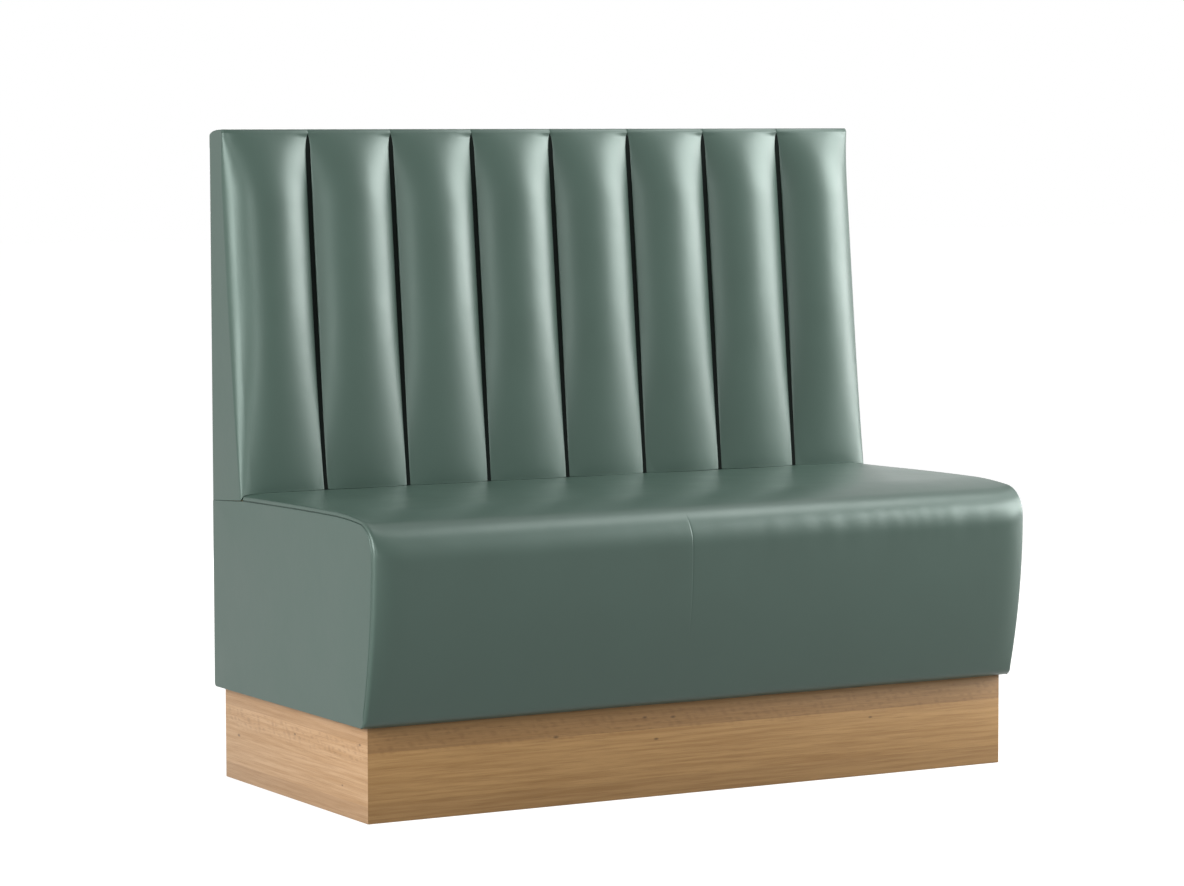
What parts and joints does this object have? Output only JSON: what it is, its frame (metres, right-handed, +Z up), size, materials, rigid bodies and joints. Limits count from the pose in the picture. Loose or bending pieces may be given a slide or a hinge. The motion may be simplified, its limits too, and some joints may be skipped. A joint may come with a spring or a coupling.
{
  "type": "restaurant booth seating",
  "caption": "Straight booth bench with a raked, vertically channelled backrest and an upholstered seat box on a recessed oak plinth.",
  "frame": {"origin": "on the floor, under the middle of the whole bench", "axes": "+X along the bench's length, towards the sitter's left; +Y from the seat's front edge towards the wall behind it; +Z up"},
  "size_m": [1.2, 0.6, 1.058],
  "materials": {
    "oak": "satin",
    "plywood": "matte",
    "softwood": "matte",
    "green_leather": "satin",
    "foam": "matte",
    "wadding": "matte",
    "jute_webbing": "matte",
    "hessian": "matte",
    "black_cloth": "matte",
    "zinc_steel": "satin"
  },
  "bodies": {
    "root": {"back_bolts": "zinc_steel", "back_bottom_rail": "softwood", "back_frame_screws": "zinc_steel", "back_front_ply": "plywood", "back_inner_ribs": "plywood", "back_left_gable": "plywood", "back_left_side_pad": "foam", "back_rear_cloth": "black_cloth", "back_right_gable": "plywood", "back_right_side_pad": "foam", "back_t_nuts": "zinc_steel", "back_top_cover": "green_leather", "back_top_pad": "foam", "back_top_rail": "softwood", "channel_cover_1": "green_leather", "channel_cover_2": "green_leather", "channel_cover_3": "green_leather", "channel_cover_4": "green_leather", "channel_cover_5": "green_leather", "channel_cover_6": "green_leather", "channel_cover_7": "green_leather", "channel_cover_8": "green_leather", "channel_foam_1": "foam", "channel_foam_2": "foam", "channel_foam_3": "foam", "channel_foam_4": "foam", "channel_foam_5": "foam", "channel_foam_6": "foam", "channel_foam_7": "foam", "channel_foam_8": "foam", "plinth_corner_blocks": "softwood", "plinth_cross_rails": "softwood", "plinth_front_board": "oak", "plinth_left_board": "oak", "plinth_rear_rail": "softwood", "plinth_right_board": "oak", "seat_back_ledge": "plywood", "seat_base_board": "plywood", "seat_cross_webbing": "jute_webbing", "seat_foam": "foam", "seat_frame_screws": "zinc_steel", "seat_front_foam": "foam", "seat_front_panel": "plywood", "seat_front_rail": "softwood", "seat_hessian": "hessian", "seat_inner_ribs": "plywood", "seat_left_gable": "plywood", "seat_left_side_cover": "green_leather", "seat_left_side_pad": "foam", "seat_left_top_cover": "green_leather", "seat_long_webbing": "jute_webbing", "seat_rear_cloth": "black_cloth", "seat_rear_rail": "softwood", "seat_right_gable": "plywood", "seat_right_side_cover": "green_leather", "seat_right_side_pad": "foam", "seat_right_top_cover": "green_leather", "seat_to_plinth_screws": "zinc_steel", "seat_wadding": "wadding"}
  },
  "joints": []
}
